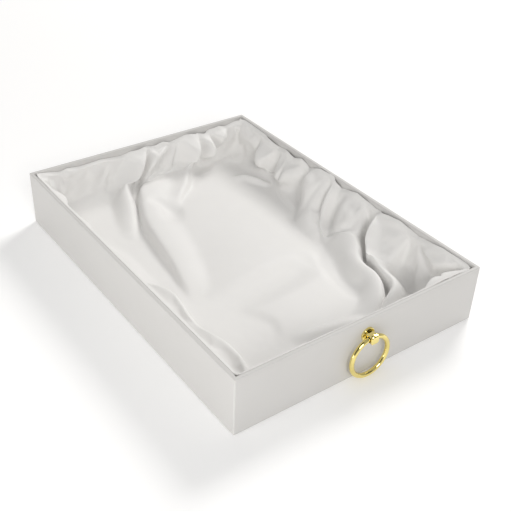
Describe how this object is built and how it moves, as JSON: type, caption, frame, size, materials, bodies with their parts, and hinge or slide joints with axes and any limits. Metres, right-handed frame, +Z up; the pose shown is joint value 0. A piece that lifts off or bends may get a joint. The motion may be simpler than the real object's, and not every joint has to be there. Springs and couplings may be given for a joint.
{
  "type": "jewelry gift box drawer tray",
  "caption": "Shallow rigid paper-wrapped drawer tray with a gathered satin lining and a hanging ring pull on its front wall.",
  "frame": {"origin": "centre of the tray's underside, on the surface that it stands on", "axes": "+Y along the long side towards the rear wall, away from the ring pull; +X to the right seen from the front; +Z up out of the open tray"},
  "size_m": [0.15, 0.216, 0.033],
  "materials": {
    "wrap_paper": "satin",
    "greyboard": "matte",
    "corner_tape": "matte",
    "wadding": "matte",
    "satin": "satin",
    "polished_gold": "polished",
    "plated_steel": "satin"
  },
  "bodies": {
    "tray": {"underside_sheet": "wrap_paper", "base_board": "greyboard", "left_board": "greyboard", "right_board": "greyboard", "front_board": "greyboard", "rear_board": "greyboard", "front_left_corner_tape": "corner_tape", "front_right_corner_tape": "corner_tape", "rear_left_corner_tape": "corner_tape", "rear_right_corner_tape": "corner_tape", "wall_wrap": "wrap_paper", "base_wadding": "wadding", "satin_lining": "satin", "pull_rosette": "polished_gold", "pull_post": "polished_gold", "pull_washer": "plated_steel", "pull_nut": "plated_steel"},
    "ring": {"pull_ring": "polished_gold"}
  },
  "joints": [
    {"name": "ring_swing", "type": "hinge", "parent": "tray", "child": "ring", "pos_m": [0, -0.1084, 0.024], "axis": [-1, 0, 0], "range_deg": [-5, 192]}
  ]
}
